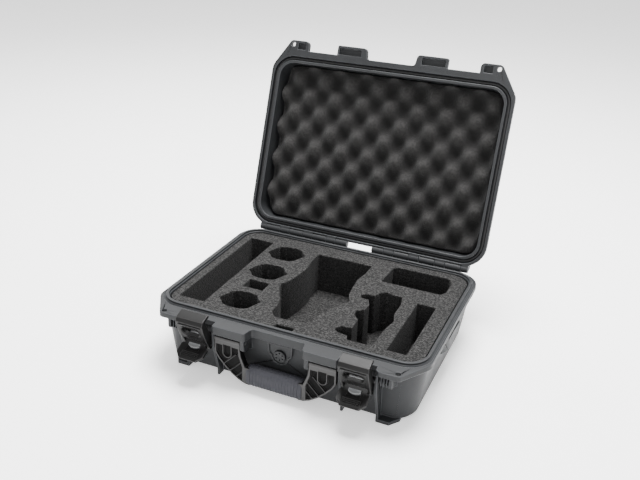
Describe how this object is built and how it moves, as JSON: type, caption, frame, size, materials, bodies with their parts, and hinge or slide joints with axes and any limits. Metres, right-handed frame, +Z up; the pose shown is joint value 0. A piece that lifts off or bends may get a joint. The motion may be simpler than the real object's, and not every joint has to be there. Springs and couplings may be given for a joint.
{
  "type": "hard carrying case",
  "caption": "Hard carrying case with a hinged lid, over-centre latches, a folding handle and foam cut for a folding camera drone.",
  "frame": {"origin": "middle of the underside of the base, on the ground", "axes": "+X to the right of somebody facing the latches, -Y the front with the latches and the handle, +Z up; millimetre geometry, metres in the record"},
  "size_m": [0.353, 0.4037, 0.3442],
  "materials": {
    "shell_plastic": "graphite grey moulded plastic with a fine grain",
    "latch_plastic": "black moulded plastic, satin",
    "lock_plastic": "light grey moulded plastic",
    "grip_rubber": "slate grey ribbed overmould",
    "seal_rubber": "matt black",
    "foam": "charcoal open-cell foam",
    "lid_foam": "charcoal convoluted foam",
    "steel": "dark ground pins",
    "vent_membrane": "grey membrane"
  },
  "bodies": {
    "case_base": {"base_shell": "shell_plastic", "base_foam": "foam", "base_foam_lower": "foam", "base_foam_pad": "foam", "hinge_pin_left": "steel", "hinge_pin_right": "steel", "handle_pin_left": "steel", "handle_pin_right": "steel", "latch_pin_left": "steel", "latch_pin_right": "steel", "valve_bezel": "shell_plastic", "valve_cap": "shell_plastic", "valve_body": "shell_plastic", "valve_membrane": "vent_membrane"},
    "lid": {"lid_shell": "shell_plastic", "lid_seal": "seal_rubber", "lid_foam": "lid_foam"},
    "handle": {"handle_frame": "latch_plastic", "handle_grip": "grip_rubber"},
    "claw_left": {"latch_claw_left": "latch_plastic", "lever_pin_left": "steel"},
    "lever_left": {"latch_lever_left": "latch_plastic"},
    "lock_left": {"slide_lock_left": "lock_plastic"},
    "claw_right": {"latch_claw_right": "latch_plastic", "lever_pin_right": "steel"},
    "lever_right": {"latch_lever_right": "latch_plastic"},
    "lock_right": {"slide_lock_right": "lock_plastic"}
  },
  "joints": [
    {"name": "lid_hinge", "type": "hinge", "parent": "case_base", "child": "lid", "pos_m": [0, 0.1289, 0.0842], "axis": [1, 0, 0], "range_deg": [0, 108.8]},
    {"name": "handle_hinge", "type": "hinge", "parent": "case_base", "child": "handle", "pos_m": [0, -0.1365, 0.0625], "axis": [-1, 0, 0], "range_deg": [0, 90]},
    {"name": "claw_left_hinge", "type": "hinge", "parent": "case_base", "child": "claw_left", "pos_m": [-0.10325, -0.1335, 0.058], "axis": [1, 0, 0], "range_deg": [-21, 0]},
    {"name": "lever_left_hinge", "type": "hinge", "parent": "claw_left", "child": "lever_left", "pos_m": [-0.10325, -0.13774, 0.04673], "axis": [1, 0, 0], "range_deg": [0, 81]},
    {"name": "lock_left_slide", "type": "slide", "parent": "lever_left", "child": "lock_left", "axis": [0, -0.866, -0.5], "range_m": [0, 0.0035], "stiffness_N_per_m": 300, "springref_m": -0.002},
    {"name": "claw_right_hinge", "type": "hinge", "parent": "case_base", "child": "claw_right", "pos_m": [0.10325, -0.1335, 0.058], "axis": [1, 0, 0], "range_deg": [-21, 0]},
    {"name": "lever_right_hinge", "type": "hinge", "parent": "claw_right", "child": "lever_right", "pos_m": [0.10325, -0.13774, 0.04673], "axis": [1, 0, 0], "range_deg": [0, 81]},
    {"name": "lock_right_slide", "type": "slide", "parent": "lever_right", "child": "lock_right", "axis": [0, -0.866, -0.5], "range_m": [0, 0.0035], "stiffness_N_per_m": 300, "springref_m": -0.002}
  ]
}
